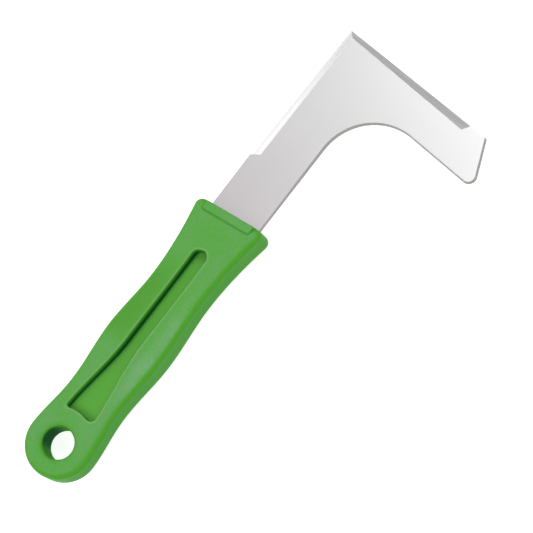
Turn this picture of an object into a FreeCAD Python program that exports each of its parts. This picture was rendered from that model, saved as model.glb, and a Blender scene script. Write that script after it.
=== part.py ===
"""Hand weeding sickle: an L-shaped sheet-steel hook blade in a moulded plastic grip.

Frame: origin at the centre of the hanging hole, halfway through the grip's thickness.
+X runs along the grip towards the blade, +Z is square to the blade's ground face and
the hook arm points along -Y.  Millimetres throughout.
"""
import FreeCAD, Part
import math
import os

V = FreeCAD.Vector

# Blade sheet
SHEET = 2.5                      # sheet thickness
SHARP_LAND = 0.3                 # thickness left at a ground edge

# Shank and hook arm, in plan
SHANK_TOP = 14.1                 # +Y edge of the shank
SHANK_BOTTOM = -13.55            # -Y edge of the shank
EDGE_START_X = 167.0             # where the long edge starts to taper and to be ground
HEEL = (244.5, 12.2)             # outer corner between the long edge and the end edge
NOSE = (239.4, -75.3)            # outer corner at the free end of the arm
TIP = (216.3, -85.4)             # corner between the slanted nose and the arm's inner edge
ARM_INNER_TOP = (219.8, -40.0)   # a point on the arm's inner edge, near the throat
THROAT_RADIUS = 30.0
NOSE_RADIUS = 2.2
TIP_RADIUS = 3.4

# Ground bevels: distance of each inner line from its own edge, at both of its ends
LONG_BEVEL = (4.5, 3.7)
END_BEVEL = (2.8, 4.6)
LONG_RUNOUT_LEAD = 0.4           # how far before the taper the long bevel's run-out starts
LONG_RUNOUT_LEAN = 2.5           # how far that run-out leans along X across the bevel
LONG_RUNOUT_RADIUS = 3.0
END_RUNOUT_Y = -62.9             # where the end bevel's inner line stops
END_RUNOUT_FALL = 0.7            # slope of the end bevel's run-out in plan
GRIND_PAST = 0.2                 # share of an edge's length that its cutter runs past a corner

# Tang, hidden in the grip
TANG_HALF_WIDTH = 9.5
TANG_END_X = 62.0
TANG_SHOULDER_X = 120.0
TANG_CORNER = 4.0
KEY_HOLE_RADIUS = 3.5
KEY_HOLES_X = (76.0, 103.0)

# Grip: (x, half width) and (x, half thickness) stations, each joined by one smooth curve
RING = (0.0, 17.5)
NECK = (28.8, 14.95)
PALM = (60.2, 16.75)
WAIST = (93.3, 14.9)
FLARE = (132.5, 18.8)
FLARE_SLOPE = 0.22
RING_THICK = (12.0, 8.7)
NECK_THICK = (32.0, 9.2)
PALM_THICK = (62.0, 10.0)
WAIST_THICK = (95.0, 9.5)
COLLAR_THICK = (131.0, 10.4)
EDGE_RADIUS = 4.0                # rounding of the grip's long edges
LIP_CORNER_RADII = {1: 4.3, -1: 5.2}     # front corners in plan, on the +Y and -Y sides

# Front of the grip and the raised pad behind it
LIP_X = 137.7                    # where the slanted front crosses y = 0
LIP_SLANT = 5.8                  # degrees from square
PAD_HALF_WIDTH = 13.7
PAD_LENGTH = 4.8
PAD_RISE = 1.0
PAD_CORNER = 1.6

# Hanging hole
HOLE_RADIUS = 8.0
HOLE_WALL_HALF = 6.4             # half length of the straight wall
HOLE_DISH_RADIUS = 13.0

# Tapered pocket in each face
POCKET_START_RADIUS = 17.7       # its end by the ring is concentric with the hanging hole
POCKET_WIDE = (12.0, 8.7)
POCKET_NARROW = (60.0, 4.25)
POCKET_END_X = 115.7
POCKET_CORNER = 1.8
WEB_HALF = 3.3                   # half the wall left between the two pockets
POCKET_RIM = 0.7                 # rounding of the pocket's rim
POCKET_FLOOR = 1.0

OVER = 20.0                      # how far cutters run past what they cut


def point(place, z=0.0):
    return V(place[0], place[1], z)


def line(start, end):
    return Part.makeLine(start, end)


def ease(start, end, lift):
    """Curve that leaves start and reaches end with no slope; lift turns (x, h) into a point."""
    third = (end[0] - start[0]) / 3.0
    handles = [start, (start[0] + third, start[1]), (end[0] - third, end[1]), end]
    curve = Part.BezierCurve()
    curve.setPoles([lift(h) for h in handles])
    return curve.toShape()


def smooth(points, first_direction, last_direction):
    """One curve through points, with the given directions at its ends."""
    curve = Part.BSplineCurve()
    curve.interpolate(Points=points, InitialTangent=first_direction,
                      FinalTangent=last_direction)
    return curve.toShape()


def prism(edges, low, high, axis=V(0, 0, 1)):
    """Straight solid over a closed outline, from low to high along axis."""
    wire = Part.Wire(Part.__sortEdges__(edges))
    face = Part.Face(wire)
    face.translate(axis * low)
    return face.extrude(axis * (high - low))


def closed_polygon(corners):
    return [line(a, b) for a, b in zip(corners, corners[1:] + corners[:1])]


def runs_along_z(edge):
    return abs(edge.tangentAt(edge.FirstParameter).z) > 0.99


def vertical_edges(solid, places):
    """Edges along Z that pass through the given plan places."""
    found = []
    for edge in solid.Edges:
        middle = edge.CenterOfMass
        near = any(math.hypot(middle.x - x, middle.y - y) < 0.5 for x, y in places)
        if near and runs_along_z(edge):
            found.append(edge)
    return found


def lip_x(y):
    """X of the grip's slanted front at a given y."""
    return LIP_X - math.tan(math.radians(LIP_SLANT)) * y


# ---------------------------------------------------------------- blade

def blade_blank():
    """Flat sheet: tang, shank and hook arm, before grinding."""
    inner_run = (TIP[0] - ARM_INNER_TOP[0]) / (TIP[1] - ARM_INNER_TOP[1])
    throat = (ARM_INNER_TOP[0] + inner_run * (SHANK_BOTTOM - ARM_INNER_TOP[1]), SHANK_BOTTOM)
    shoulder = TANG_SHOULDER_X
    corners = [
        (TANG_END_X, TANG_HALF_WIDTH), (shoulder, TANG_HALF_WIDTH),
        (shoulder, SHANK_TOP), (EDGE_START_X, SHANK_TOP), HEEL, NOSE, TIP, throat,
        (shoulder, SHANK_BOTTOM), (shoulder, -TANG_HALF_WIDTH),
        (TANG_END_X, -TANG_HALF_WIDTH),
    ]
    outline = closed_polygon([point(c) for c in corners])
    sheet = prism(outline, -SHEET / 2, SHEET / 2)
    sheet = sheet.makeFillet(THROAT_RADIUS, vertical_edges(sheet, [throat]))
    sheet = sheet.makeFillet(NOSE_RADIUS, vertical_edges(sheet, [NOSE]))
    sheet = sheet.makeFillet(TIP_RADIUS, vertical_edges(sheet, [TIP]))
    tang = [(TANG_END_X, TANG_HALF_WIDTH), (TANG_END_X, -TANG_HALF_WIDTH)]
    sheet = sheet.makeFillet(TANG_CORNER, vertical_edges(sheet, tang))
    for x in KEY_HOLES_X:
        hole = Part.makeCylinder(KEY_HOLE_RADIUS, SHEET + 2, V(x, 0, -SHEET / 2 - 1))
        sheet = sheet.cut(hole)
    return sheet


def bevel_section(inner, outer):
    """Triangle that removes all above a slope from inner, on the face, to outer, at the edge."""
    high = point(inner, SHEET / 2)
    low = point(outer, -SHEET / 2 + SHARP_LAND)
    slope = low - high
    top = high - slope
    bottom = low + slope
    roof = V(bottom.x, bottom.y, top.z)
    return Part.makePolygon([top, bottom, roof, top])


def along(start, end, fraction):
    return (start[0] + (end[0] - start[0]) * fraction, start[1] + (end[1] - start[1]) * fraction)


def long_edge_grind():
    """Bevel along the long edge, ending in a scooped run-out beside the shank."""
    start = (EDGE_START_X, SHANK_TOP)
    inner_start = (start[0], start[1] - LONG_BEVEL[0])
    inner_end = (HEEL[0], HEEL[1] - LONG_BEVEL[1])
    far = 1 + GRIND_PAST
    first = bevel_section(inner_start, start)
    last = bevel_section(along(inner_start, inner_end, far), along(start, HEEL, far))
    wedge = Part.makeLoft([first, last], True, True)
    left = EDGE_START_X - LONG_RUNOUT_LEAD
    knee_x = EDGE_START_X + LONG_RUNOUT_LEAN
    right = HEEL[0] + OVER
    window = [(left, SHANK_TOP + OVER), (left, SHANK_TOP), (knee_x, inner_start[1]),
              (knee_x, 0.0), (right, 0.0), (right, SHANK_TOP + OVER)]
    bounds = prism(closed_polygon([point(w) for w in window]), -OVER, OVER)
    knee = vertical_edges(bounds, [window[2]])
    return wedge.common(bounds.makeFillet(LONG_RUNOUT_RADIUS, knee))


def end_edge_grind():
    """Bevel across the hook's end edge, from the heel to a slanted run-out near the nose."""
    inner_start = (HEEL[0] - END_BEVEL[0], HEEL[1])
    inner_end = (NOSE[0] - END_BEVEL[1], NOSE[1])
    first = bevel_section(along(inner_start, inner_end, -GRIND_PAST),
                          along(HEEL, NOSE, -GRIND_PAST))
    last = bevel_section(inner_end, NOSE)
    wedge = Part.makeLoft([first, last], True, True)
    turn_x = NOSE[0] - END_BEVEL[1]
    left = turn_x - OVER
    right = turn_x + OVER
    drop = END_RUNOUT_FALL * OVER
    window = [(left, END_RUNOUT_Y + drop), (right, END_RUNOUT_Y - drop),
              (right, 2 * OVER), (left, 2 * OVER)]
    bounds = prism(closed_polygon([point(w) for w in window]), -OVER, OVER)
    return wedge.common(bounds)


def blade():
    return blade_blank().cut(long_edge_grind()).cut(end_edge_grind())


# ---------------------------------------------------------------- grip

def side_curve(side):
    """One long side of the grip in plan; side is +1 for +Y and -1 for -Y.

    The waist and the flare lie square to the slanted front, so they shift along X
    on each side by as much as the front does.
    """
    shift = lip_x(side * FLARE[1]) - LIP_X
    beyond = OVER / 2
    stations = [RING, NECK, PALM, (WAIST[0] + shift, WAIST[1]), (FLARE[0] + shift, FLARE[1]),
                (FLARE[0] + shift + beyond, FLARE[1] + FLARE_SLOPE * beyond)]
    points = [V(x, side * width, 0) for x, width in stations]
    return smooth(points, V(1, 0, 0), V(1, side * FLARE_SLOPE, 0)), points[-1]


def grip_plan():
    """Straight solid over the grip's plan outline, ring end to slanted front."""
    upper, upper_end = side_curve(1)
    lower, lower_end = side_curve(-1)
    radius = RING[1]
    ring = Part.Arc(V(0, radius, 0), V(-radius, 0, 0), V(0, -radius, 0)).toShape()
    body = prism([upper, lower, ring, line(upper_end, lower_end)], -OVER, OVER)
    reach = 2 * OVER
    corners = [(-reach, -reach), (lip_x(-reach), -reach), (lip_x(reach), reach), (-reach, reach)]
    return body.common(prism(closed_polygon([point(c) for c in corners]), -OVER, OVER))


def grip_profile():
    """Straight solid across the grip over its side view."""
    stations = [(-RING[1] - OVER, RING_THICK[1]), (0.0, RING_THICK[1]), RING_THICK, NECK_THICK,
                PALM_THICK, WAIST_THICK, COLLAR_THICK, (LIP_X + OVER, COLLAR_THICK[1])]
    edges = []
    for side in (1, -1):
        points = [V(x, 0, side * height) for x, height in stations]
        edges.append(smooth(points, V(1, 0, 0), V(1, 0, 0)))
    for x, height in (stations[0], stations[-1]):
        edges.append(line(V(x, 0, height), V(x, 0, -height)))
    return prism(edges, -2 * OVER, 2 * OVER, V(0, 1, 0))


def grip_body():
    """Outer form of the grip with its edges rounded."""
    body = grip_plan().common(grip_profile()).Solids[0]
    for side in (1, -1):
        corner = [e for e in body.Edges if runs_along_z(e) and e.CenterOfMass.x > FLARE[0]
                  and side * e.CenterOfMass.y > PAD_HALF_WIDTH]
        body = body.makeFillet(LIP_CORNER_RADII[side], corner)
    for side in (1, -1):
        rim = [e for e in body.Edges
               if side * e.CenterOfMass.z > NECK[1] / 2 and not runs_along_z(e)]
        body = body.makeFillet(EDGE_RADIUS, rim)
    return body


def front_pad():
    """Raised pad along the slanted front, on both faces, as one block through the collar."""
    half = PAD_HALF_WIDTH
    corners = [(lip_x(half) - PAD_LENGTH, half), (lip_x(half), half),
               (lip_x(-half), -half), (lip_x(-half) - PAD_LENGTH, -half)]
    height = COLLAR_THICK[1] + PAD_RISE
    block = prism(closed_polygon([point(c) for c in corners]), -height, height)
    rear = vertical_edges(block, [corners[0], corners[3]])
    return block.makeFillet(PAD_CORNER, rear)


def hanging_hole():
    """Cutter: a straight wall that is dished out to the ring's face at both ends."""
    wide = HOLE_DISH_RADIUS - HOLE_RADIUS
    tall = RING_THICK[1] - HOLE_WALL_HALF
    halves = []
    for side in (1, -1):
        bend = []
        for angle in (0.0, math.pi / 4, math.pi / 2):
            bend.append(V(HOLE_DISH_RADIUS - wide * math.cos(angle), 0,
                          side * (HOLE_WALL_HALF + tall * math.sin(angle))))
        dish = smooth(bend, V(0, 0, side * tall), V(wide, 0, 0))
        frame = [bend[-1], V(HOLE_DISH_RADIUS, 0, side * OVER), V(0, 0, side * OVER),
                 V(0, 0, 0), V(HOLE_RADIUS, 0, 0), bend[0]]
        edges = [line(a, b) for a, b in zip(frame, frame[1:])] + [dish]
        face = Part.Face(Part.Wire(Part.__sortEdges__(edges)))
        halves.append(face.revolve(V(0, 0, 0), V(0, 0, 1), 360))
    return halves[0].fuse(halves[1]).removeSplitter()


def pocket(side):
    """Cutter for the tapered pocket in one face; side is +1 for +Z."""
    def upper(place):
        return V(place[0], place[1], 0)

    def lower(place):
        return V(place[0], -place[1], 0)
    radius = POCKET_NARROW[1]
    turn = POCKET_END_X - radius
    nose = Part.Arc(V(turn, radius, 0), V(POCKET_END_X, 0, 0), V(turn, -radius, 0)).toShape()
    edges = [ease(POCKET_WIDE, POCKET_NARROW, lift) for lift in (upper, lower)]
    edges += [line(lift(POCKET_NARROW), lift((turn, radius))) for lift in (upper, lower)]
    edges += [nose, line(upper(POCKET_WIDE), lower(POCKET_WIDE))]
    cutter = prism(edges, WEB_HALF, OVER)
    cutter = cutter.cut(Part.makeCylinder(POCKET_START_RADIUS, 2 * OVER))
    corner_y = POCKET_WIDE[1] - 0.1
    corner_x = math.sqrt(POCKET_START_RADIUS ** 2 - corner_y ** 2)
    corners = vertical_edges(cutter, [(corner_x, corner_y), (corner_x, -corner_y)])
    cutter = cutter.makeFillet(POCKET_CORNER, corners)
    floor = [e for e in cutter.Edges if abs(e.BoundBox.ZMax - WEB_HALF) < 0.001]
    cutter = cutter.makeFillet(POCKET_FLOOR, floor)
    if side < 0:
        cutter = cutter.mirror(V(0, 0, 0), V(0, 0, 1))
    return cutter


def on_pocket_rim(edge, side):
    """True for an edge where a pocket's wall meets the grip's face."""
    box = edge.BoundBox
    low = min(side * box.ZMin, side * box.ZMax)
    inside = max(abs(box.YMin), abs(box.YMax)) < POCKET_WIDE[1] + POCKET_CORNER
    between = HOLE_DISH_RADIUS < box.XMin and box.XMax < POCKET_END_X + 1
    return inside and between and low > RING_THICK[1] - 0.5


def grip(steel):
    """One-piece moulding around the tang."""
    body = grip_body()
    for side in (1, -1):
        body = body.cut(pocket(side))
        rim = [e for e in body.Edges if on_pocket_rim(e, side)]
        body = body.makeFillet(POCKET_RIM, rim)
    body = body.fuse(front_pad()).cut(hanging_hole())
    return body.cut(steel)


def main():
    os.makedirs("parts", exist_ok=True)
    steel = blade()
    nodes = {"blade": steel, "handle": grip(steel)}
    for name, shape in nodes.items():
        shape.exportStep(os.path.join("parts", name + ".step"))
        box = shape.optimalBoundingBox()
        print(name, shape.isValid(), len(shape.Solids), round(shape.Volume),
              [round(v, 2) for v in (box.XMin, box.XMax, box.YMin, box.YMax, box.ZMin, box.ZMax)])


main()
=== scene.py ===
"""Looks of a hand weeding sickle: a ground sheet-steel hook blade in a moulded plastic grip.

Laid out as a Blender add-on and run as a script.  Everything is in metres, in the frame of
the CAD model: origin at the centre of the hanging hole, +X towards the blade, +Z square to it.
"""
import math

import bmesh
import bpy
from bpy.props import FloatProperty, FloatVectorProperty, PointerProperty
from mathutils import Matrix, Vector


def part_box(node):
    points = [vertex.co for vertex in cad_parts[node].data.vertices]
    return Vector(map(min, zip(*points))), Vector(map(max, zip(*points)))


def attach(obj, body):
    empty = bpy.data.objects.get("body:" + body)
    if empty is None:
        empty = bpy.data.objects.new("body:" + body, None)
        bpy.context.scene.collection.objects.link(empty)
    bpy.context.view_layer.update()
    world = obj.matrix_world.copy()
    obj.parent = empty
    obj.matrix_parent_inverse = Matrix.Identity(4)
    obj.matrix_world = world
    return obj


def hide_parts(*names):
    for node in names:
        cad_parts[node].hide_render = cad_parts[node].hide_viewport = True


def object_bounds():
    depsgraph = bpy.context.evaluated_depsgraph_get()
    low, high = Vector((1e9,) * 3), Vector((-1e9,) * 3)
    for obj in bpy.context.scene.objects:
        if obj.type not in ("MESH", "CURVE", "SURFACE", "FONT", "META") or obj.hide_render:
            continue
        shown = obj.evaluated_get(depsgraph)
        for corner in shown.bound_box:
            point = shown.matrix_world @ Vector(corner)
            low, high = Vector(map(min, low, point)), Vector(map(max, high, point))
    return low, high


bl_info = {
    "name": "Hand Weeding Sickle",
    "version": (1, 0, 0),
    "blender": (4, 5, 0),
    "location": "3D View > Sidebar > Sickle",
    "description": "Builds a moulded grip, a ground hook blade and a plain studio for them",
    "category": "Object",
}

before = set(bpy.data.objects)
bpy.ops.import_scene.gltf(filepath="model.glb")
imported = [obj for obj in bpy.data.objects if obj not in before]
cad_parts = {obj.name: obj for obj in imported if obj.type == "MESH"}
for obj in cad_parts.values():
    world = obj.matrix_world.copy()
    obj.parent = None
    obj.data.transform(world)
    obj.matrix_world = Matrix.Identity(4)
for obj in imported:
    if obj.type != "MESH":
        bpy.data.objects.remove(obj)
CAD_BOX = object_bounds()
BODY = "root"
MM = 0.001


# ------------------------------------------------------------------ settings

def length(name, description, millimetres):
    return FloatProperty(name=name, description=description, default=millimetres * MM,
                         subtype="DISTANCE", unit="LENGTH", precision=5)


def colour(name, description, value):
    return FloatVectorProperty(name=name, description=description, default=value,
                               subtype="COLOR", size=3, min=0.0, max=1.0)


class SickleGripSettings(bpy.types.PropertyGroup):
    """Sizes of the grip, each one also an input of its geometry nodes, and its colours."""
    ring_radius: length("Ring Radius", "Outer radius of the ring end", 17.5)
    neck_x: length("Neck Place", "Where the grip is narrowest behind the ring", 28.8)
    neck_half: length("Neck Half Width", "Half width at the neck", 14.95)
    palm_x: length("Palm Place", "Where the palm swell is widest", 60.2)
    palm_half: length("Palm Half Width", "Half width at the palm swell", 16.75)
    waist_x: length("Waist Place", "Where the flare towards the blade starts", 93.3)
    waist_half: length("Waist Half Width", "Half width at the waist", 14.9)
    flare_x: length("Flare Place", "Where the flare reaches its stated width", 132.5)
    flare_half: length("Flare Half Width", "Half width at the flare", 18.8)
    ring_thick: length("Ring Half Thickness", "Half thickness of the ring end", 8.7)
    neck_thick: length("Neck Half Thickness", "Half thickness at the neck", 9.2)
    palm_thick: length("Palm Half Thickness", "Half thickness at the palm", 10.0)
    waist_thick: length("Waist Half Thickness", "Half thickness at the waist", 9.5)
    collar_thick: length("Collar Half Thickness", "Half thickness at the collar", 10.4)
    edge_radius: length("Edge Radius", "Rounding of the long edges", 4.0)
    corner_upper: length("Upper Corner", "Rounding of the +Y front corner in plan", 4.3)
    corner_lower: length("Lower Corner", "Rounding of the -Y front corner in plan", 5.2)
    lip_x: length("Lip Place", "Where the slanted front crosses the axis", 137.7)
    pad_half: length("Pad Half Width", "Half width of the raised pad", 13.7)
    pad_length: length("Pad Length", "Length of the raised pad behind the lip", 4.8)
    pad_rise: length("Pad Rise", "Height of the pad above the collar", 0.95)
    pad_corner: length("Pad Corner", "Rounding of the pad's rear corners", 1.5)
    pad_edge: length("Pad Edge", "Rounding of the pad's upper edges", 0.55)
    pad_root: length("Pad Root", "Fillet where the pad meets the collar", 0.7)
    hole_radius: length("Hole Radius", "Radius of the hanging hole", 8.0)
    hole_dish: length("Hole Dish", "How far the hole's rim is dished out", 5.0)
    hole_dish_depth: length("Hole Dish Depth", "How deep the dished rim goes", 2.3)
    pocket_ring: length("Pocket Start", "Radius about the hole where the pocket starts", 17.7)
    pocket_wide: length("Pocket Wide Half", "Half width of the pocket's wide end", 8.7)
    pocket_wide_x: length("Pocket Wide Place", "Where the pocket's taper starts", 12.0)
    pocket_narrow: length("Pocket Narrow Half", "Half width of the pocket's slot", 4.25)
    pocket_narrow_x: length("Pocket Narrow Place", "Where the pocket's taper ends", 60.0)
    pocket_end: length("Pocket End", "Where the pocket's round end stops", 115.7)
    pocket_corner: length("Pocket Corner", "Rounding of the pocket's -Y wide corner", 5.0)
    pocket_heel: length("Pocket Heel", "Rounding of the pocket's +Y wide corner", 2.0)
    pocket_tuck: length("Pocket Tuck", "How much nearer the axis the pocket's +Y wall is", 0.6)
    pocket_floor: length("Pocket Floor Radius", "Fillet round the pocket's floor", 1.0)
    pocket_rim: length("Pocket Rim Radius", "Rounding of the pocket's rim", 0.7)
    web_half: length("Web Half Thickness", "Half the wall between the two pockets", 3.3)
    sheet_half: length("Sheet Half Thickness", "Half thickness of the tang's slot", 1.25)
    tang_half: length("Tang Half Width", "Half width of the tang's slot", 9.5)
    tang_end: length("Tang End", "Where the tang's slot ends", 62.0)
    shank_half: length("Shank Half Width", "Half width of the shank's slot", 13.82)
    shank_offset: length("Shank Offset", "How far the shank's middle lies towards +Y", 0.28)
    shoulder_x: length("Shoulder Place", "Where the tang widens to the shank", 120.0)
    key_radius: length("Key Radius", "Radius of the plastic keys through the tang", 3.5)
    key_near: length("Near Key", "Place of the key nearer the ring", 76.0)
    key_far: length("Far Key", "Place of the key nearer the blade", 103.0)
    voxel: length("Cell", "Size of the cells the form is meshed with", 0.52)
    lip_slant: FloatProperty(name="Lip Slant", description="Slope of the front across the grip",
                             default=math.tan(math.radians(5.8)))
    green: colour("Green", "Body colour of the plastic", (0.056, 0.264, 0.018))
    # Painted shade: the grip's sides are darker and deeper green, standing in for the shade that
    # falls on them.
    shaded_flank: colour("Shaded Flank", "Colour of the grip's sides", (0.034, 0.246, 0.009))
    # Partly painted sheen: the open faces are paler and bluer, standing in for the sky they
    # reflect; the mottle in it is random tone.
    mottled_sheen: colour("Mottled Sheen", "Colour of the frosted bloom on open faces", (0.108, 0.252, 0.100))
    # Painted light: the pockets' floors are paler, making up for the shade inside the pockets.
    lit_web: colour("Web", "Colour of the pockets' floors", (0.080, 0.286, 0.037))
    # Painted shade: the palm's +Y half is darker.
    clean: colour("Shaded Palm", "Colour of the palm's +Y half", (0.062, 0.218, 0.030))
    # Painted sheen: a pale bluish patch along the palm's -Y edge, standing in for a broad
    # highlight.
    sheened: colour("Sheened Palm", "Colour of the palm's rubbed -Y edge", (0.155, 0.300, 0.160))
    # Painted highlight on the pocket's rims that don't face -Y.
    lit_rim: colour("Lit Rim", "Colour of the pocket's paler rims", (0.15, 0.30, 0.12))
    handled: colour("Handled", "Colour of faint handling marks", (0.07, 0.27, 0.045))
    # Painted shade: the dark colour laid on the hollows' walls that face -Y and in the creases,
    # standing in for the shade there.
    shade: colour("Shade", "Colour of the plastic deep in its hollows", (0.003, 0.100, 0.024))


class SickleBladeSettings(bpy.types.PropertyGroup):
    """Sizes and colours of the blade."""
    sheet: length("Sheet", "Thickness of the sheet", 2.5)
    land: length("Land", "Thickness left at a ground edge", 0.18)
    shank_top: length("Shank Top", "+Y edge of the shank", 14.1)
    shank_bottom: length("Shank Bottom", "-Y edge of the shank", -13.55)
    edge_start: length("Edge Start", "Where the long edge starts to taper", 167.0)
    throat_radius: length("Throat Radius", "Radius of the hook's inside corner", 30.0)
    nose_radius: length("Nose Radius", "Rounding of the nose's outer corner", 2.2)
    tip_radius: length("Tip Radius", "Rounding of the arm's tip", 3.4)
    long_bevel_start: length("Long Bevel Start", "Bevel width beside the shank", 4.5)
    long_bevel_end: length("Long Bevel End", "Bevel width at the heel", 3.7)
    end_bevel_start: length("End Bevel Start", "End bevel's width at the heel", 2.8)
    end_bevel_end: length("End Bevel End", "End bevel's width at the nose", 4.6)
    die_roll: length("Die Roll", "Rounding that blanking leaves round the upper edges", 0.30)
    flare: length("Flare", "How far the blanked walls stand out at the lower face", 0.62)
    burr_break: length("Burr Break", "Broken edge round the lower face", 0.12)
    steel: colour("Steel", "Colour of the sheet's faces", (0.588, 0.588, 0.592))
    warm: colour("Warm Steel", "Colour of the sheet's faces beside the grip", (0.60, 0.570, 0.582))
    ground: colour("Ground", "Colour of the freshly ground bevels", (0.74, 0.74, 0.745))
    streaks: colour("Streaks", "Colour of the streaks along the bevels", (0.53, 0.53, 0.54))
    handled: colour("Handled", "Colour of faint handling marks", (0.60, 0.58, 0.56))
    # Partly painted shade: the blanked walls and the rolled rims' narrow strips are darker,
    # standing in for the dark surroundings they reflect, as well as rougher.
    sheared_and_shaded: colour("Sheared And Shaded", "Colour of the blanked edges", (0.29, 0.283, 0.270))


class SickleStageSettings(bpy.types.PropertyGroup):
    """The plain studio."""
    distance: FloatProperty(name="Camera Distance", description="From the aim to the camera",
                            default=1.4, unit="LENGTH")
    view_width: FloatProperty(name="View Width", description="Width seen at the aim",
                              default=0.25584, unit="LENGTH")
    roll: FloatProperty(name="Roll", description="Angle of the grip's axis in the image",
                        default=math.radians(52.6), subtype="ANGLE")
    floor: colour("Floor", "Colour of the floor", (0.45, 0.45, 0.45))
    floor_clouds: colour("Floor Clouds", "Colour of the floor's paler clouds", (0.48, 0.48, 0.48))
    glow: FloatProperty(name="Floor Glow", description="Light that the backlit floor gives",
                        default=0.78, min=0.0)


# ------------------------------------------------------------------ node helpers

def feed(tree, value, socket):
    """Links a socket, or sets a plain value."""
    if isinstance(value, bpy.types.NodeSocket):
        tree.links.new(value, socket)
    else:
        socket.default_value = value


class Arithmetic:
    """Adds maths nodes to a tree, one for each call, and lays them out in columns."""

    def __init__(self, tree):
        self.tree = tree

    def node(self, kind, **settings):
        node = self.tree.nodes.new(kind)
        count = len(self.tree.nodes)
        node.location = (170 * (count // 8), -150 * (count % 8))
        for name, value in settings.items():
            setattr(node, name, value)
        return node

    def maths(self, operation, *values):
        node = self.node("ShaderNodeMath", operation=operation)
        for value, socket in zip(values, node.inputs):
            feed(self.tree, value, socket)
        return node.outputs[0]

    def add(self, a, b):
        return self.maths("ADD", a, b)

    def subtract(self, a, b):
        return self.maths("SUBTRACT", a, b)

    def multiply(self, a, b):
        return self.maths("MULTIPLY", a, b)

    def divide(self, a, b):
        return self.maths("DIVIDE", a, b)

    def highest(self, a, b):
        return self.maths("MAXIMUM", a, b)

    def lowest(self, a, b):
        return self.maths("MINIMUM", a, b)

    def size(self, a):
        return self.maths("ABSOLUTE", a)

    def negative(self, a):
        return self.maths("MULTIPLY", a, -1.0)

    def ease(self, value, start, end, low, high):
        """low up to start, high from end on, and a soft S between."""
        node = self.node("ShaderNodeMapRange", interpolation_type="SMOOTHSTEP")
        for item, socket in zip((value, start, end, low, high), node.inputs):
            feed(self.tree, item, socket)
        return node.outputs[0]

    def rise(self, value, start, end, top=1.0):
        """0 up to start, top from end on, and a soft S between."""
        return self.ease(value, start, end, 0.0, top)

    def fall(self, value, start, end, top=1.0):
        """top up to start, 0 from end on, and a soft S between."""
        return self.ease(value, start, end, top, 0.0)

    def span(self, value, start, full, last, end):
        """1 from full to last, and 0 up to start and from end on."""
        return self.multiply(self.rise(value, start, full), self.fall(value, last, end))

    def far(self, a, b):
        """Length of the plane vector (a, b)."""
        join = self.node("ShaderNodeCombineXYZ")
        feed(self.tree, a, join.inputs[0])
        feed(self.tree, b, join.inputs[1])
        measure = self.node("ShaderNodeVectorMath", operation="LENGTH")
        self.tree.links.new(join.outputs[0], measure.inputs[0])
        return measure.outputs["Value"]

    def group(self, group, **values):
        """Places a node group, and gives its outputs."""
        node = self.node(self.tree.bl_idname.replace("Tree", "Group"))
        node.node_tree = group
        for name, value in values.items():
            feed(self.tree, value, node.inputs[name.replace("_", " ").title()])
        return node.outputs


def new_group(name, kind, inputs, outputs):
    """Node group with named sockets; returns it with its input and output nodes."""
    group = bpy.data.node_groups.new(name, kind)
    for title, socket_type, default in inputs:
        socket = group.interface.new_socket(title, in_out="INPUT", socket_type=socket_type)
        if default is not None:
            socket.default_value = default
    for title, socket_type in outputs:
        group.interface.new_socket(title, in_out="OUTPUT", socket_type=socket_type)
    return group, group.nodes.new("NodeGroupInput"), group.nodes.new("NodeGroupOutput")


# ------------------------------------------------------------------ grip form

FLOAT = "NodeSocketFloat"
# Millimetres along the grip between which one half thickness changes to the next.
THICKNESS_STEPS = [(12.0, 32.0, "ring_thick", "neck_thick"),
                   (32.0, 62.0, "neck_thick", "palm_thick"),
                   (62.0, 95.0, "palm_thick", "waist_thick"),
                   (95.0, 131.0, "waist_thick", "collar_thick")]


def rounded_meet_group():
    """Where two solids overlap, by signed distance, with their common edge rounded."""
    group, given, result = new_group(
        "Rounded Meet", "GeometryNodeTree",
        [("A", FLOAT, 0.0), ("B", FLOAT, 0.0), ("Radius", FLOAT, 1.0)], [("Distance", FLOAT)])
    m = Arithmetic(group)
    radius = given.outputs["Radius"]
    a = m.add(given.outputs["A"], radius)
    b = m.add(given.outputs["B"], radius)
    outside = m.far(m.highest(a, 0.0), m.highest(b, 0.0))
    inside = m.lowest(m.highest(a, b), 0.0)
    feed(group, m.subtract(m.add(outside, inside), radius), result.inputs[0])
    return group


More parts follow.
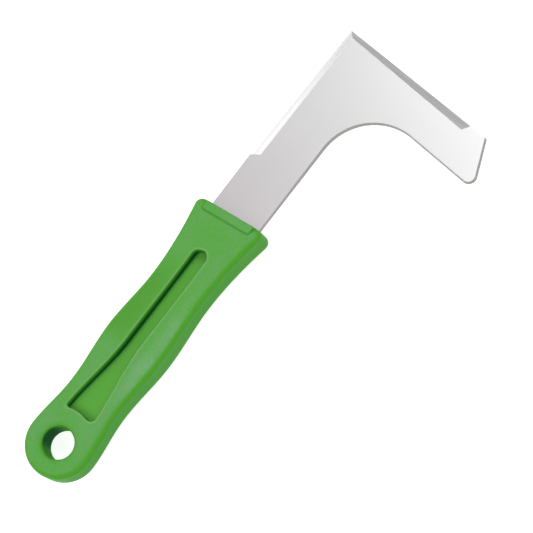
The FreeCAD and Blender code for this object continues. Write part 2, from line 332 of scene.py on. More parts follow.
class Solids:
    """Signed distances of the grip's solids, in millimetres, negative inside."""

    def __init__(self, m, size):
        self.m = m
        self.size = size
        self.rounded = rounded_meet_group()
        place = m.node("GeometryNodeInputPosition")
        split = m.node("ShaderNodeSeparateXYZ")
        m.tree.links.new(place.outputs[0], split.inputs[0])
        self.x, self.y, self.z = split.outputs
        self.side_y = m.size(self.y)
        self.height = m.size(self.z)
        self.from_hole = m.far(self.x, self.y)

    def meet(self, a, b, radius):
        """Where both solids are, with their common edge rounded."""
        return self.m.group(self.rounded, a=a, b=b, radius=radius)[0]

    def join(self, a, b, radius):
        """Both solids, with a fillet where they meet."""
        m = self.m
        return m.negative(self.meet(m.negative(a), m.negative(b), radius))

    def cut(self, solid, tool, radius):
        """A solid less a tool, with the rim of the cut rounded."""
        return self.meet(solid, self.m.negative(tool), radius)

    def across(self, half, lower, upper):
        """lower on the -Y side of the grip and upper on the +Y side, eased over a middle strip."""
        return self.m.ease(self.y, -half, half, lower, upper)

    def stepped(self, place, steps):
        """Follows a row of sizes along the grip, with a soft S from each to the next."""
        m, s = self.m, self.size
        total = s[steps[0][2]]
        for start, end, before, after in steps:
            total = m.add(total, m.rise(place, start, end, m.subtract(s[after], s[before])))
        return total

    def half_width(self):
        """Eased steps from ring to waist, then a flare that lies square to the slanted lip."""
        m, s = self.m, self.size
        slanted = m.multiply(m.multiply(s["lip_slant"], self.y),
                             m.rise(self.x, s["palm_x"], s["waist_x"]))
        along = m.add(self.x, slanted)
        total = self.stepped(along, [(0.0, s["neck_x"], "ring_radius", "neck_half"),
                                     (s["neck_x"], s["palm_x"], "neck_half", "palm_half"),
                                     (s["palm_x"], s["waist_x"], "palm_half", "waist_half")])
        run = m.divide(m.highest(m.subtract(along, s["waist_x"]), 0.0),
                       m.subtract(s["flare_x"], s["waist_x"]))
        flare = m.multiply(m.multiply(run, run), m.subtract(s["flare_half"], s["waist_half"]))
        return m.add(total, flare)

    def body(self):
        """The outer form, with the distances of its face and of its slanted front."""
        m, s = self.m, self.size
        sides = m.subtract(m.far(m.lowest(self.x, 0.0), self.y), self.half_width())
        lip = m.add(m.subtract(self.x, s["lip_x"]), m.multiply(s["lip_slant"], self.y))
        corner = self.across(5.0, s["corner_lower"], s["corner_upper"])
        plan = self.meet(sides, lip, corner)
        face = m.subtract(self.height, self.stepped(self.x, THICKNESS_STEPS))
        return self.meet(plan, face, s["edge_radius"]), face, lip

    def pad(self, face, lip):
        """The raised pad behind the front, and its plan."""
        m, s = self.m, self.size
        setback = 0.15
        front = m.add(lip, setback)
        rear = m.negative(m.add(lip, s["pad_length"]))
        sides = m.subtract(self.side_y, s["pad_half"])
        plan = self.meet(self.meet(sides, rear, s["pad_corner"]), front, s["pad_edge"])
        return self.meet(plan, m.subtract(face, s["pad_rise"]), s["pad_edge"]), plan

    def pocket(self):
        """The tapered pocket with one round end, and its plan."""
        m, s = self.m, self.size
        turn = m.subtract(s["pocket_end"], s["pocket_narrow"])
        half = m.ease(self.x, s["pocket_wide_x"], s["pocket_narrow_x"],
                      s["pocket_wide"], s["pocket_narrow"])
        half = m.subtract(half, self.across(2.0, 0.0, s["pocket_tuck"]))
        past = m.highest(m.subtract(self.x, turn), 0.0)
        sides = m.subtract(m.far(past, self.y), half)
        ring = m.subtract(s["pocket_ring"], self.from_hole)
        corner = self.across(3.0, s["pocket_corner"], s["pocket_heel"])
        plan = self.meet(sides, m.highest(ring, m.negative(self.x)), corner)
        floor = m.subtract(s["web_half"], self.height)
        return self.meet(plan, floor, s["pocket_floor"]), plan

    def dished_hole(self, solid, face):
        """Cuts the hanging hole; its rim is an ellipse, made by stretching the face's distance."""
        m, s = self.m, self.size
        hole = m.subtract(self.from_hole, s["hole_radius"])
        stretch = m.divide(s["hole_dish"], s["hole_dish_depth"])
        clear = 5.0                      # sinks the dish under the face away from the ring
        face = m.subtract(face, m.rise(self.x, s["neck_x"], s["palm_x"], clear))
        dished = m.divide(self.cut(m.multiply(face, stretch), hole, s["hole_dish"]), stretch)
        return m.highest(solid, dished)

    def tang_slot(self):
        """The room that the shank and the tang take, less the keys through the tang."""
        m, s = self.m, self.size
        sheet = m.subtract(self.height, s["sheet_half"])
        tang = m.highest(m.subtract(self.side_y, s["tang_half"]), m.subtract(s["tang_end"], self.x))
        middle = m.size(m.subtract(self.y, s["shank_offset"]))
        shank = m.highest(m.subtract(middle, s["shank_half"]), m.subtract(s["shoulder_x"], self.x))
        plan = m.lowest(tang, shank)
        for key in ("key_near", "key_far"):
            hole = m.subtract(m.far(m.subtract(self.x, s[key]), self.y), s["key_radius"])
            plan = m.highest(plan, m.negative(hole))
        return m.highest(sheet, plan)

    def near(self, value, full, none):
        """1 where a distance is within full of zero, falling to 0 at none."""
        return self.m.fall(self.m.size(value), full, none)

    def hollows(self, pocket_plan, face):
        """The pocket's walls, from part way down, and the hanging hole's, where the plastic is
        rougher and has painted shade.
        """
        m = self.m
        pocket = m.multiply(self.near(m.add(pocket_plan, 0.1), 0.5, 1.3), m.fall(face, -3.4, -2.2))
        wall = m.subtract(self.from_hole, self.size["hole_radius"])
        hole = m.multiply(self.near(wall, 0.3, 1.2), m.fall(face, -2.6, -1.0))
        return m.highest(pocket, hole)

    def rims(self, pocket_plan, face):
        """The rounded rim of the pocket, just under the face, where the plastic has a painted
        highlight.
        """
        m = self.m
        return m.multiply(self.near(m.subtract(pocket_plan, 0.35), 0.25, 0.85),
                          m.rise(face, -1.1, -0.4))

    def creases(self, pad_plan, face, lip):
        """The root of the pad, and the front that the blade comes out of, where the plastic has
        painted shade.
        """
        m = self.m
        root = m.multiply(self.near(m.subtract(pad_plan, 0.30), 0.05, 0.55),
                          m.fall(face, 0.15, 0.6))
        root = m.multiply(root, m.fall(lip, -0.7, -0.2))
        joint = m.multiply(m.rise(lip, -0.35, -0.05), m.ease(face, -3.5, -1.0, 1.0, 0.5))
        return m.highest(root, joint)

    def grip(self):
        """The whole grip's distance, and where its hollows, rims and creases are."""
        body, face, lip = self.body()
        pad, pad_plan = self.pad(face, lip)
        pocket, pocket_plan = self.pocket()
        solid = self.join(body, pad, self.size["pad_root"])
        solid = self.cut(solid, pocket, self.size["pocket_rim"])
        solid = self.dished_hole(solid, face)
        masks = {"hollow": self.hollows(pocket_plan, face), "rim": self.rims(pocket_plan, face),
                 "crease": self.creases(pad_plan, face, lip)}
        return self.m.highest(solid, self.m.negative(self.tang_slot())), masks


def size_titles(settings):
    """Title of each single-number size of a settings group, by its name."""
    return {p.identifier: p.name for p in settings.bl_rna.properties
            if p.type == "FLOAT" and not p.is_array}


def grip_tree(settings, low, high):
    """Geometry nodes that mesh the grip's form between two corners, in millimetres."""
    titles = size_titles(settings)
    inputs = [(title, FLOAT, 1.0) for title in titles.values()]
    tree, given, result = new_group("Moulded Grip", "GeometryNodeTree", inputs +
                                    [("Plastic", "NodeSocketMaterial", None)],
                                    [("Geometry", "NodeSocketGeometry")])
    m = Arithmetic(tree)
    size = {name: given.outputs[title] for name, title in titles.items()}
    distance, masks = Solids(m, size).grip()
    band = 2.0                           # outside the skin, over which the density falls to 0
    cube = m.node("GeometryNodeVolumeCube")
    feed(tree, m.highest(m.subtract(band, distance), 0.0), cube.inputs["Density"])
    cube.inputs["Min"].default_value = low
    cube.inputs["Max"].default_value = high
    for axis, start, end in zip("XYZ", low, high):
        cells = m.add(m.maths("ROUND", m.divide(end - start, size["voxel"])), 1.0)
        feed(tree, cells, cube.inputs["Resolution " + axis])
    skin = m.node("GeometryNodeVolumeToMesh")
    skin.inputs["Threshold"].default_value = band
    tree.links.new(cube.outputs[0], skin.inputs["Volume"])
    normal = m.node("GeometryNodeInputNormal")
    settle = m.node("ShaderNodeVectorMath", operation="SCALE")
    tree.links.new(normal.outputs[0], settle.inputs[0])
    settling = 0.8                       # share of the way back onto the exact surface
    feed(tree, m.multiply(distance, -settling), settle.inputs["Scale"])
    snap = m.node("GeometryNodeSetPosition")
    tree.links.new(skin.outputs[0], snap.inputs["Geometry"])
    tree.links.new(settle.outputs[0], snap.inputs["Offset"])
    marked = snap.outputs[0]
    for name, mask in masks.items():
        store = m.node("GeometryNodeStoreNamedAttribute", data_type="FLOAT", domain="POINT")
        store.inputs["Name"].default_value = name
        tree.links.new(marked, store.inputs["Geometry"])
        feed(tree, mask, store.inputs["Value"])
        marked = store.outputs[0]
    shrink = m.node("GeometryNodeTransform")
    tree.links.new(marked, shrink.inputs["Geometry"])
    shrink.inputs["Scale"].default_value = (MM, MM, MM)
    smooth = m.node("GeometryNodeSetShadeSmooth")
    tree.links.new(shrink.outputs[0], smooth.inputs[0])
    real = m.node("GeometryNodeRealizeInstances")
    tree.links.new(smooth.outputs[0], real.inputs[0])
    paint = m.node("GeometryNodeSetMaterial")
    tree.links.new(real.outputs[0], paint.inputs[0])
    tree.links.new(given.outputs["Plastic"], paint.inputs["Material"])
    tree.links.new(paint.outputs[0], result.inputs[0])
    return tree


def plain_mesh(piece):
    """Replaces a piece's mesh by its evaluated one and takes its modifiers off."""
    graph = bpy.context.evaluated_depsgraph_get()
    mesh = bpy.data.meshes.new_from_object(piece.evaluated_get(graph))
    piece.modifiers.clear()
    piece.data = mesh
    mesh.name = piece.name
    return piece


def new_piece(name, mesh=None):
    piece = bpy.data.objects.new(name, mesh or bpy.data.meshes.new(name))
    bpy.context.scene.collection.objects.link(piece)
    return piece


def build_grip(settings, plastic):
    """The grip as a plain mesh; only the slope of its front isn't a length."""
    margin = 1.5
    low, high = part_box("handle")
    middle = (low[0] + high[0]) / 2 / MM
    half = [(b - a) / 2 / MM + margin for a, b in zip(low, high)]
    low = [middle - half[0], -half[1], -half[2]]
    high = [middle + half[0], half[1], half[2]]
    tree = grip_tree(settings, low, high)
    piece = new_piece("grip")
    modifier = piece.modifiers.new("Moulded Grip", "NODES")
    modifier.node_group = tree
    names = {title: name for name, title in size_titles(settings).items()}
    for item in tree.interface.items_tree:
        if item.in_out == "INPUT" and item.name in names:
            name = names[item.name]
            unit = 1.0 if name == "lip_slant" else MM
            modifier[item.identifier] = getattr(settings, name) / unit
        elif item.name == "Plastic":
            modifier[item.identifier] = plastic
    return plain_mesh(piece)


# ------------------------------------------------------------------ blade form

def flat(place, z=0.0):
    return Vector((place[0], place[1], z))


def along(start, end, fraction):
    return flat(start).lerp(flat(end), fraction)


def rounded_corner(before, corner, after, radius, steps):
    """Points of the arc that rounds a corner of a plan outline."""
    corner = flat(corner)
    back = (flat(before) - corner).normalized()
    ahead = (flat(after) - corner).normalized()
    half = back.angle(ahead) / 2
    centre = corner + (back + ahead).normalized() * radius / math.sin(half)
    reach = radius / math.tan(half)
    first = corner + back * reach - centre
    last = corner + ahead * reach - centre
    turn = first.angle(last)
    points = []
    for step in range(steps + 1):
        share = step / steps
        blend = first * math.sin((1 - share) * turn) + last * math.sin(share * turn)
        points.append(centre + blend / math.sin(turn))
    return points


def outline(corners):
    """Plan outline from (x, y) or (x, y, radius, steps) corners, in order."""
    points = []
    for index, corner in enumerate(corners):
        if len(corner) == 2:
            points.append(flat(corner))
            continue
        before = corners[index - 1]
        after = corners[(index + 1) % len(corners)]
        points += rounded_corner(before, corner, after, corner[2], corner[3])
    return points


def prism(name, points, low, high, foot=None):
    """Closed solid over a plan outline, straight unless its foot has an outline of its own."""
    form = bmesh.new()
    lower = [form.verts.new((p.x, p.y, low)) for p in foot or points]
    upper = [form.verts.new((p.x, p.y, high)) for p in points]
    form.faces.new(lower)
    form.faces.new(upper)
    for index in range(len(points)):
        after = (index + 1) % len(points)
        form.faces.new((lower[index], lower[after], upper[after], upper[index]))
    return finish_form(name, form)


def loft(name, sections):
    """Closed solid over plane sections with equal numbers of corners."""
    form = bmesh.new()
    rings = [[form.verts.new(corner) for corner in section] for section in sections]
    form.faces.new(rings[0])
    form.faces.new(rings[-1])
    count = len(rings[0])
    for ring, following in zip(rings, rings[1:]):
        for index in range(count):
            after = (index + 1) % count
            form.faces.new((ring[index], ring[after], following[after], following[index]))
    return finish_form(name, form)


def finish_form(name, form):
    bmesh.ops.recalc_face_normals(form, faces=form.faces)
    mesh = bpy.data.meshes.new(name)
    form.to_mesh(mesh)
    form.free()
    return new_piece(name, mesh)


def combine(piece, tool, operation):
    """Applies a boolean with a tool that isn't kept."""
    modifier = piece.modifiers.new(operation.title(), "BOOLEAN")
    modifier.operation = operation
    modifier.solver = "EXACT"
    modifier.object = tool
    plain_mesh(piece)
    bpy.data.objects.remove(tool)
    return piece


class Plan:
    """Corners of the blade in plan, shared by the sheet and the grinds, in metres."""
    heel = (244.5 * MM, 12.2 * MM)
    nose = (239.4 * MM, -75.3 * MM)
    tip = (216.3 * MM, -85.4 * MM)
    arm_inner = (219.8 * MM, -40.0 * MM)

    def __init__(self, settings):
        self.top = settings.shank_top
        self.bottom = settings.shank_bottom
        lean = (self.tip[0] - self.arm_inner[0]) / (self.tip[1] - self.arm_inner[1])
        self.throat = (self.arm_inner[0] + lean * (self.bottom - self.arm_inner[1]), self.bottom)
        self.start = (settings.edge_start, self.top)


def flared(points, start_x, flare):
    """Plan outline whose sides that face -X or -Y, past start_x, stand out by the flare."""
    steepness, onset = 1.6, 0.2
    lower = []
    for index, place in enumerate(points):
        run = points[(index + 1) % len(points)] - points[index - 1]
        out = Vector((run.y, -run.x, 0.0)).normalized()
        share = min(1.0, max(0.0, steepness * max(-out.x, -out.y) - onset))
        if place.x <= start_x:
            share = 0.0
        lower.append(place + out * flare * share)
    return lower


def blade_sheet(settings, plan, sizes):
    """The blanked sheet, with its tang and the holes that the grip's keys fill."""
    shoulder, tang, end = sizes.shoulder_x, sizes.tang_half, sizes.tang_end
    tang_corner = 4 * MM
    corners = [
        (end, -tang, tang_corner, 6), (shoulder, -tang), (shoulder, plan.bottom),
        (*plan.throat, settings.throat_radius, 40), (*plan.tip, settings.tip_radius, 14),
        (*plan.nose, settings.nose_radius, 12), plan.heel, plan.start,
        (shoulder, plan.top), (shoulder, tang), (end, tang, tang_corner, 6)]
    half = settings.sheet / 2
    upper = outline(corners)
    sheet = prism("hook_blade", upper, -half, half, flared(upper, shoulder, settings.flare))
    sides = 32
    for x in (sizes.key_near, sizes.key_far):
        circle = [Vector((x + sizes.key_radius * math.cos(a), sizes.key_radius * math.sin(a), 0))
                  for a in (math.tau * i / sides for i in range(sides))]
        combine(sheet, prism("key hole", circle, -2 * half, 2 * half), "DIFFERENCE")
    return sheet


def grind_section(inner, edge, sheet, land):
    """Triangle above a slope from the face, at inner, down to the land left at the edge."""
    high = Vector((inner[0], inner[1], sheet / 2))
    low = Vector((edge[0], edge[1], land - sheet / 2))
    slope = low - high
    top = high - slope
    bottom = low + slope
    return [top, bottom, Vector((bottom.x, bottom.y, top.z))]


def grind(name, settings, inner, edge, start, stop):
    """Wedge over a bevel between two shares of its length, in strips, as its width changes."""
    strips = 12
    sections = []
    for index in range(strips + 1):
        share = start + (stop - start) * index / strips
        sections.append(grind_section(along(*inner, share), along(*edge, share),
                                      settings.sheet, settings.land))
    return loft(name, sections)


def long_grind(settings, plan):
    """Cutter of the long bevel; its run-out beside the shank is scooped."""
    inner_start = (plan.start[0], plan.top - settings.long_bevel_start)
    inner_end = (plan.heel[0], plan.heel[1] - settings.long_bevel_end)
    wedge = grind("long grind", settings, (inner_start, inner_end),
                  (plan.start, plan.heel), -0.1, 1.2)
    over = 20 * MM
    lead, lean, knee = 0.4 * MM, 2.5 * MM, 3.0 * MM
    left, right = plan.start[0], plan.heel[0] + over
    window = outline([(left - lead, plan.top), (left + lean, inner_start[1], knee, 10),
                      (left + lean, 0.0), (right, 0.0), (right, plan.top + over),
                      (left - lead, plan.top + over)])
    return combine(wedge, prism("window", window, -over, over), "INTERSECT")


def end_grind(settings, plan):
    """Cutter of the end bevel, from the heel to a slanted run-out near the nose."""
    inner_start = (plan.heel[0] - settings.end_bevel_start, plan.heel[1])
    inner_end = (plan.nose[0] - settings.end_bevel_end, plan.nose[1])
    wedge = grind("end grind", settings, (inner_start, inner_end),
                  (plan.heel, plan.nose), -0.2, 1.0)
    over, run_out, fall = 20 * MM, -62.9 * MM, 0.7
    drop = fall * over
    left, right = inner_end[0] - over, inner_end[0] + over
    window = outline([(left, run_out + drop), (right, run_out - drop),
                      (right, 2 * over), (left, 2 * over)])
    return combine(wedge, prism("window", window, -over, over), "INTERSECT")


WALL_LEAN = 0.3      # greatest Z of a wall's normal, which the flare tips a little off level


def weight_edges(mesh, settings):
    """Bevel weights: rolled upper rim, lightly broken lower rim, crisp ground lines."""
    crisp, near_face = 0.12, 0.9
    form = bmesh.new()
    form.from_mesh(mesh)
    bmesh.ops.remove_doubles(form, verts=form.verts, dist=0.004 * MM)
    bmesh.ops.dissolve_limit(form, angle_limit=math.radians(0.03), verts=form.verts,
                             edges=form.edges, delimit={"NORMAL"})
    weight = form.edges.layers.float.new("bevel_weight_edge")
    rim = settings.sheet / 2 * near_face
    for edge in form.edges:
        if len(edge.link_faces) != 2 or edge.calc_face_angle(0.0) < math.radians(4):
            continue
        walls = sum(abs(face.normal.z) < WALL_LEAN for face in edge.link_faces)
        tops = sum(face.normal.z > 0.999 for face in edge.link_faces)
        level = sum(vert.co.z for vert in edge.verts) / 2
        if walls == 1 and tops == 1 and level > rim:
            edge[weight] = 1.0
        elif walls == 1 and level < -rim:
            edge[weight] = min(1.0, settings.burr_break / settings.die_roll)
        else:
            edge[weight] = crisp
    form.to_mesh(mesh)
    form.free()


def mark_blanked(mesh):
    """Marks the walls that blanking left, and the narrow strips of the rolled rims."""
    strip, strip_lean = 0.3 * MM, 0.9
    layer = mesh.attributes.new("blanked", "FLOAT", "FACE")
    for face in mesh.polygons:
        corners = [mesh.vertices[i].co for i in face.vertices]
        longest = max((a - b).length for a, b in zip(corners, corners[1:] + corners[:1]))
        lean = abs(face.normal.z)
        if lean < WALL_LEAN or (face.area / longest < strip and lean < strip_lean):
            layer.data[face.index].value = 1.0


def build_blade(settings, sizes, steel):
    """The blanked, ground and finished blade; the grip's sizes give its tang."""
    plan = Plan(settings)
    sheet = blade_sheet(settings, plan, sizes)
    combine(sheet, long_grind(settings, plan), "DIFFERENCE")
    combine(sheet, end_grind(settings, plan), "DIFFERENCE")
    weight_edges(sheet.data, settings)
    roll = sheet.modifiers.new("Rolled Rim", "BEVEL")
    roll.limit_method = "WEIGHT"
    roll.offset_type = "WIDTH"
    roll.width = settings.die_roll
    roll.segments = 4
    roll.profile = 0.5
    roll.miter_outer = "MITER_SHARP"
    roll.use_clamp_overlap = True
    plain_mesh(sheet)
    for face in sheet.data.polygons:
        face.use_smooth = True
    soft = sheet.modifiers.new("Even Faces", "WEIGHTED_NORMAL")
    soft.weight = 90
    soft.keep_sharp = True
    plain_mesh(sheet)
    mark_blanked(sheet.data)
    sheet.data.materials.append(steel)
    return sheet


# ------------------------------------------------------------------ finishes

VECTOR = "NodeSocketVector"
COLOUR = "NodeSocketColor"


class Shading(Arithmetic):
    """Shader nodes, with the mixes and textures that the finishes share."""

    def mix(self, share, a, b):
        """Two colours mixed by a share; each is a socket or three numbers."""
        node = self.node("ShaderNodeMix", data_type="RGBA")
        feed(self.tree, share, node.inputs["Factor"])
        for value, socket in ((a, node.inputs[6]), (b, node.inputs[7])):
            linked = isinstance(value, bpy.types.NodeSocket)
            feed(self.tree, value if linked else (*value, 1.0), socket)
        return node.outputs[2]

    def blend(self, share, a, b):
        """Plain numbers mixed by a share."""
        node = self.node("ShaderNodeMapRange")
        for item, socket in zip((share, 0.0, 1.0, a, b), node.inputs):
            feed(self.tree, item, socket)
        return node.outputs[0]

    def noise(self, place, scale, detail=3.0, rough=0.55):
        node = self.node("ShaderNodeTexNoise")
        feed(self.tree, place, node.inputs["Vector"])
        feed(self.tree, scale, node.inputs["Scale"])
        node.inputs["Detail"].default_value = detail
        node.inputs["Roughness"].default_value = rough
        return node.outputs[0]

    def turned(self, place, degrees):
        """The place, turned about Z."""
        node = self.node("ShaderNodeMapping")
        feed(self.tree, place, node.inputs["Vector"])
        node.inputs["Rotation"].default_value = (0.0, 0.0, math.radians(degrees))
        return node.outputs[0]

    def attribute(self, name):
        node = self.node("ShaderNodeAttribute", attribute_name=name)
        return node.outputs["Fac"]

    def parts(self, vector):
        node = self.node("ShaderNodeSeparateXYZ")
        feed(self.tree, vector, node.inputs[0])
        return node.outputs

    def bump(self, height, distance, normal=None):
        node = self.node("ShaderNodeBump")
        feed(self.tree, height, node.inputs["Height"])
        node.inputs["Distance"].default_value = distance
        if normal is not None:
            self.tree.links.new(normal, node.inputs["Normal"])
        return node.outputs[0]


class Finish(Shading):
    """A new material, with the place and the facing of each point of its surface."""

    def __init__(self, name):
        self.material = bpy.data.materials.new(name)
        self.material.use_nodes = True
        super().__init__(self.material.node_tree)
        self.tree.nodes.clear()
        self.surface = self.node("ShaderNodeBsdfPrincipled")
        output = self.node("ShaderNodeOutputMaterial")
        self.tree.links.new(self.surface.outputs[0], output.inputs[0])
        self.place = self.node("ShaderNodeTexCoord").outputs["Object"]
        self.facing = self.node("ShaderNodeNewGeometry").outputs["Normal"]

    def give(self, name, value):
        """Links or sets a socket of the surface."""
        feed(self.tree, value, self.surface.inputs[name])


def worked_grain_group():
    """Height and streak mask of a surface worked along X, from stretched noise."""
    group, given, result = new_group(
        "Worked Grain", "ShaderNodeTree",
        [("Place", VECTOR, None), ("Fineness", FLOAT, 1200.0), ("Stretch", FLOAT, 0.02)],
        [("Height", FLOAT), ("Streaks", FLOAT)])
    s = Shading(group)
    x, y, z = s.parts(given.outputs["Place"])
    join = s.node("ShaderNodeCombineXYZ")
    feed(group, s.multiply(x, given.outputs["Stretch"]), join.inputs[0])
    feed(group, y, join.inputs[1])
    feed(group, z, join.inputs[2])
    fine = s.noise(join.outputs[0], given.outputs["Fineness"], 2.0)
    broad = s.noise(join.outputs[0], s.multiply(given.outputs["Fineness"], 0.12), 2.0)
    feed(group, s.add(s.multiply(fine, 0.7), s.multiply(broad, 0.3)), result.inputs["Height"])
    feed(group, s.ease(broad, 0.35, 0.65, 0.0, 1.0), result.inputs["Streaks"])
    return group


def handling_marks_group():
    """Mask of faint handling marks: soft blotches broken up by finer ones."""
    group, given, result = new_group(
        "Handling Marks", "ShaderNodeTree",
        [("Place", VECTOR, None), ("Scale", FLOAT, 40.0), ("Amount", FLOAT, 0.5)],
        [("Marks", FLOAT)])
    s = Shading(group)
    blotch = s.noise(given.outputs["Place"], given.outputs["Scale"], 3.0)
    break_up = s.noise(given.outputs["Place"], s.multiply(given.outputs["Scale"], 7.0), 3.0)
    edge = s.subtract(1.0, s.multiply(given.outputs["Amount"], 0.5))
    both = s.add(s.multiply(blotch, 0.7), s.multiply(break_up, 0.3))
    feed(group, s.ease(both, s.subtract(edge, 0.35), edge, 0.0, 1.0), result.inputs["Marks"])
    return group


def steel_material(settings, grain, marks):
    """Rolled sheet with a fine grain, ground bevels, and blanked edges that are darker, partly as
    rougher sheared steel and partly as painted shade.
    """
    s = Finish("Satin sheet steel")
    facing = s.parts(s.facing)
    sheared_and_shaded = s.attribute("blanked")
    bevels = s.multiply(s.fall(s.size(facing["Z"]), 0.90, 0.975), s.subtract(1.0, sheared_and_shaded))
    end_bevel = s.rise(facing["X"], 0.15, 0.3)
    sheet = s.group(grain, place=s.place, fineness=900.0, stretch=0.05)
    along_edge, along_end = [
        s.group(grain, place=s.turned(s.place, degrees), fineness=2600.0, stretch=0.012)
        for degrees in (1.4, 86.7)]
    ground_height = s.blend(end_bevel, along_edge["Height"], along_end["Height"])
    streaks = s.blend(end_bevel, along_edge["Streaks"], along_end["Streaks"])
    wear = s.group(marks, place=s.place, scale=45.0, amount=0.55)["Marks"]

    beyond_grip = s.rise(s.parts(s.place)["X"], 130 * MM, 220 * MM)
    colour = s.mix(beyond_grip, settings.warm, settings.steel)
    colour = s.mix(bevels, colour, settings.ground)
    lines = s.multiply(streaks, s.blend(end_bevel, 0.15, 0.9))
    colour = s.mix(s.multiply(lines, bevels), colour, settings.streaks)
    colour = s.mix(s.multiply(wear, 0.06), colour, settings.handled)
    # Partly painted shade on the blanked walls and the rolled rims' strips.
    s.give("Base Color", s.mix(sheared_and_shaded, colour, settings.sheared_and_shaded))
    s.give("Metallic", 1.0)

    rough = s.blend(bevels, 0.24, s.blend(streaks, 0.20, 0.30))
    rough = s.add(rough, s.multiply(wear, 0.012))
    s.give("Roughness", s.blend(sheared_and_shaded, rough, 0.55))
    height = s.blend(bevels, s.multiply(sheet["Height"], 0.35), ground_height)
    s.give("Normal", s.bump(height, 0.02 * MM))
    return s.material


def plastic_material(settings, marks):
    """Moulded polypropylene with much of its light and shade painted: a mottled paler tone with
    painted sheen on open faces, painted shade in the hollows and creases.
    """
    s = Finish("Green moulded plastic")
    place, facing = s.parts(s.place), s.parts(s.facing)
    depth, flatness = s.size(place["Z"]), s.size(facing["Z"])
    texture = s.noise(s.place, 2400.0, 3.0, 0.6)
    mottle = s.rise(s.noise(s.place, 1000.0, 5.0, 0.8), 0.40, 0.60)
    clouds = s.rise(s.noise(s.place, 60.0, 3.0, 0.6), 0.35, 0.65)
    wear = s.group(marks, place=s.place, scale=60.0, amount=0.6)["Marks"]
    hollow = s.attribute("hollow")

    def patchy(base, fine, broad):
        return s.add(base, s.add(s.multiply(mottle, fine), s.multiply(clouds, broad)))

    # Where each colour lies.  Much light and shade is painted into it: painted shade on the
    # hollows' walls that face -Y, in the creases, on the sides and on the palm's +Y half; painted
    # light on the pockets' floors;
    # a painted highlight on the pocket's other rims; painted sheen on the open faces and on the
    # palm's -Y edge.
    open_face = s.multiply(s.rise(flatness, 0.72, 0.97), s.ease(depth, 4 * MM, 8 * MM, 0.35, 1.0))
    # Painted shade on the grip's sides.
    shaded_flank = s.multiply(s.fall(flatness, 0.2, 0.7, 0.85), s.fall(depth, 3 * MM, 8 * MM))
    # Painted light on the pockets' floors.
    lit_web = s.multiply(s.fall(depth, 3.6 * MM, 5 * MM), s.rise(flatness, 0.8, 0.95))
    # Painted shade on the palm's +Y half.
    clean = s.multiply(s.span(place["X"], 50 * MM, 66 * MM, 88 * MM, 112 * MM),
                       s.rise(place["Y"], 2 * MM, 8 * MM, 0.7))
    # Painted sheen on the open faces, broken up by random mottled tone.
    mottled_sheen = s.multiply(s.multiply(open_face, patchy(0.18, 0.46, 0.30)), s.subtract(1.0, clean))
    # Painted sheen along the palm's -Y edge.
    palm_edge = s.multiply(s.span(place["X"], 20 * MM, 56 * MM, 70 * MM, 112 * MM),
                           s.multiply(s.fall(place["Y"], -11 * MM, -6 * MM), open_face))
    # Painted highlight on the pocket's rims that don't face -Y.
    painted_rim_highlight = s.multiply(s.attribute("rim"), s.rise(facing["Y"], -0.45, -0.10, 0.75))
    # Painted shade: the hollows' walls that face -Y get most of the dark colour.
    away = s.ease(facing["Y"], -0.94, -0.60, 0.95, 0.10)
    colour = settings.green
    for share, over in ((shaded_flank, settings.shaded_flank), (s.multiply(mottled_sheen, 0.85), settings.mottled_sheen),
                        (lit_web, settings.lit_web), (s.multiply(clean, open_face), settings.clean),
                        (s.multiply(palm_edge, patchy(0.16, 0.18, 0.26)), settings.sheened),
                        (painted_rim_highlight, settings.lit_rim), (s.multiply(wear, 0.12), settings.handled),
                        # Painted shade in the hollows and, more lightly, in the creases.
                        (s.multiply(hollow, away), settings.shade),
                        (s.multiply(s.attribute("crease"), 0.40), settings.shade)):
        colour = s.mix(share, colour, over)
    s.give("Base Color", colour)

    rough = s.blend(texture, 0.30, 0.50)
    rough = s.add(rough, s.add(s.multiply(wear, 0.08), s.multiply(mottled_sheen, 0.10)))
    s.give("Roughness", s.blend(hollow, rough, 0.75))
    s.give("IOR", 1.42)
    s.give("Specular IOR Level", 0.06)
    parting_line = s.multiply(s.fall(depth, 0.05 * MM, 0.2 * MM), s.fall(flatness, 0.1, 0.4))
    soft = s.bump(s.noise(s.place, 180.0, 3.0), 0.05 * MM)
    grained = s.bump(texture, 0.012 * MM, soft)
    s.give("Normal", s.bump(parting_line, 0.05 * MM, grained))
    return s.material


def floor_material(settings):
    s = Finish("Pale floor")
    s.give("Base Color", s.mix(s.noise(s.place, 3.0), settings.floor, settings.floor_clouds))
    s.give("Roughness", 0.9)
    s.give("Emission Color", (1.0, 1.0, 1.0, 1.0))
    s.give("Emission Strength", settings.glow)
    return s.material


# ------------------------------------------------------------------ studio

AIM = Vector((127.87, -27.14, 0.0)) * MM
TO_CAMERA = Vector((-0.03, -0.342, 1.0)).normalized()
SENSOR = 36.0
# Name, place from the aim in metres, width and height in metres, watts.
LAMPS = [("key lamp", (-0.85, 0.20, 1.35), 0.7, 0.7, 10.0),
         ("edge lamp", (0.05, 1.5, 0.45), 1.0, 0.4, 1.2),
         ("nose lamp", (0.66, 0.05, 1.0), 0.6, 0.6, 5.0)]


def camera_axes(settings):
    """Right and up of the image, so that the grip's axis lies at the roll angle."""
    along_grip = Vector((1, 0, 0))
    level = (along_grip - TO_CAMERA * along_grip.dot(TO_CAMERA)).normalized()
    turn = Matrix.Rotation(-settings.roll, 3, TO_CAMERA)
    right = turn @ level
    return right, TO_CAMERA.cross(right)


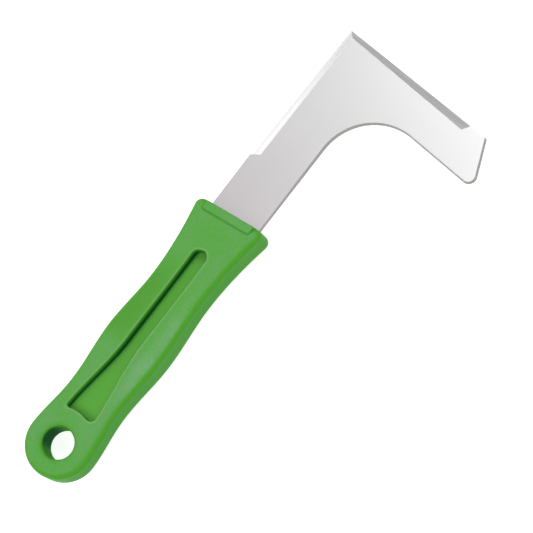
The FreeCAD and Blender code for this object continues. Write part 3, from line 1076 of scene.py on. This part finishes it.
def build_camera(settings):
    data = bpy.data.cameras.new("studio camera")
    data.sensor_width = SENSOR
    data.lens = SENSOR * settings.distance / settings.view_width
    data.clip_start = 0.01
    camera = bpy.data.objects.new("studio camera", data)
    bpy.context.scene.collection.objects.link(camera)
    axes = Matrix((*camera_axes(settings), TO_CAMERA)).transposed().to_4x4()
    camera.matrix_world = Matrix.Translation(AIM + TO_CAMERA * settings.distance) @ axes
    bpy.context.scene.camera = camera


def soft_lamp(name, offset, width, height, watts):
    """Rectangular lamp that points at the aim."""
    data = bpy.data.lights.new(name, "AREA")
    data.shape = "RECTANGLE"
    data.size = width
    data.size_y = height
    data.energy = watts
    lamp = bpy.data.objects.new(name, data)
    bpy.context.scene.collection.objects.link(lamp)
    lamp.location = AIM + Vector(offset)
    lamp.rotation_euler = Vector(offset).to_track_quat("Z", "Y").to_euler()


def build_sky():
    """Sky with a bright band on the hook's side, dimmer behind it, past it and overhead."""
    behind, band, past, overhead, dim = 0.55, 2.2, 0.85, 0.72, 0.80
    world = bpy.data.worlds.new("studio sky")
    bpy.context.scene.world = world
    world.use_nodes = True
    s = Shading(world.node_tree)
    background = world.node_tree.nodes["Background"]
    x, y, z = s.parts(s.node("ShaderNodeTexCoord").outputs["Generated"])
    side = s.add(s.multiply(x, 0.82), s.multiply(y, -0.57))
    glow = s.ease(side, -0.19, 0.03, behind, band)
    glow = s.blend(s.rise(side, 0.10, 0.35), glow, past)
    glow = s.blend(s.rise(z, 0.55, 0.8), overhead, glow)
    glow = s.multiply(glow, s.ease(x, 0.25, 0.8, 1.0, dim))
    feed(s.tree, glow, background.inputs["Strength"])
    background.inputs["Color"].default_value = (1.0, 1.0, 1.0, 1.0)


def build_stage(settings):
    """The camera, a pale floor under the tool, the sky and soft lamps."""
    build_camera(settings)
    half, gap = 4.0, 0.2 * MM
    form = bmesh.new()
    bmesh.ops.create_grid(form, x_segments=1, y_segments=1, size=half)
    bmesh.ops.translate(form, verts=form.verts, vec=(0.1, 0.0, CAD_BOX[0][2] - gap))
    floor = finish_form("floor", form)
    floor.data.materials.append(floor_material(settings))
    build_sky()
    for lamp in LAMPS:
        soft_lamp(*lamp)
    bpy.context.scene.view_settings.view_transform = "Standard"


# ------------------------------------------------------------------ operators

class SICKLE_OT_stage(bpy.types.Operator):
    """Makes the camera, the pale floor and the soft light"""
    bl_idname = "sickle.stage"
    bl_label = "Studio"

    def execute(self, context):
        build_stage(context.scene.sickle_stage)
        return {"FINISHED"}


class SICKLE_OT_grip(bpy.types.Operator):
    """Moulds the grip round the blade's tang"""
    bl_idname = "sickle.grip"
    bl_label = "Grip"

    def execute(self, context):
        settings = context.scene.sickle_grip
        marks = bpy.data.node_groups.get("Handling Marks") or handling_marks_group()
        piece = build_grip(settings, plastic_material(settings, marks))
        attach(piece, BODY)
        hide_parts("handle")
        return {"FINISHED"}


class SICKLE_OT_blade(bpy.types.Operator):
    """Blanks, grinds and finishes the hook blade"""
    bl_idname = "sickle.blade"
    bl_label = "Blade"

    def execute(self, context):
        settings = context.scene.sickle_blade
        marks = bpy.data.node_groups.get("Handling Marks") or handling_marks_group()
        steel = steel_material(settings, worked_grain_group(), marks)
        piece = build_blade(settings, context.scene.sickle_grip, steel)
        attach(piece, BODY)
        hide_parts("blade")
        return {"FINISHED"}


class SICKLE_PT_sidebar(bpy.types.Panel):
    """Lists the pieces of the sickle and its studio"""
    bl_label = "Hand Weeding Sickle"
    bl_idname = "SICKLE_PT_sidebar"
    bl_space_type = "VIEW_3D"
    bl_region_type = "UI"
    bl_category = "Sickle"

    def draw(self, context):
        for operator in (SICKLE_OT_stage, SICKLE_OT_blade, SICKLE_OT_grip):
            self.layout.operator(operator.bl_idname)


CLASSES = (SickleGripSettings, SickleBladeSettings, SickleStageSettings,
           SICKLE_OT_stage, SICKLE_OT_grip, SICKLE_OT_blade, SICKLE_PT_sidebar)


def register():
    for item in CLASSES:
        bpy.utils.register_class(item)
    bpy.types.Scene.sickle_grip = PointerProperty(type=SickleGripSettings)
    bpy.types.Scene.sickle_blade = PointerProperty(type=SickleBladeSettings)
    bpy.types.Scene.sickle_stage = PointerProperty(type=SickleStageSettings)


def unregister():
    for name in ("sickle_grip", "sickle_blade", "sickle_stage"):
        delattr(bpy.types.Scene, name)
    for item in reversed(CLASSES):
        bpy.utils.unregister_class(item)


def main():
    register()
    bpy.ops.sickle.stage()
    bpy.ops.sickle.blade()
    bpy.ops.sickle.grip()


if __name__ == "__main__":
    main()
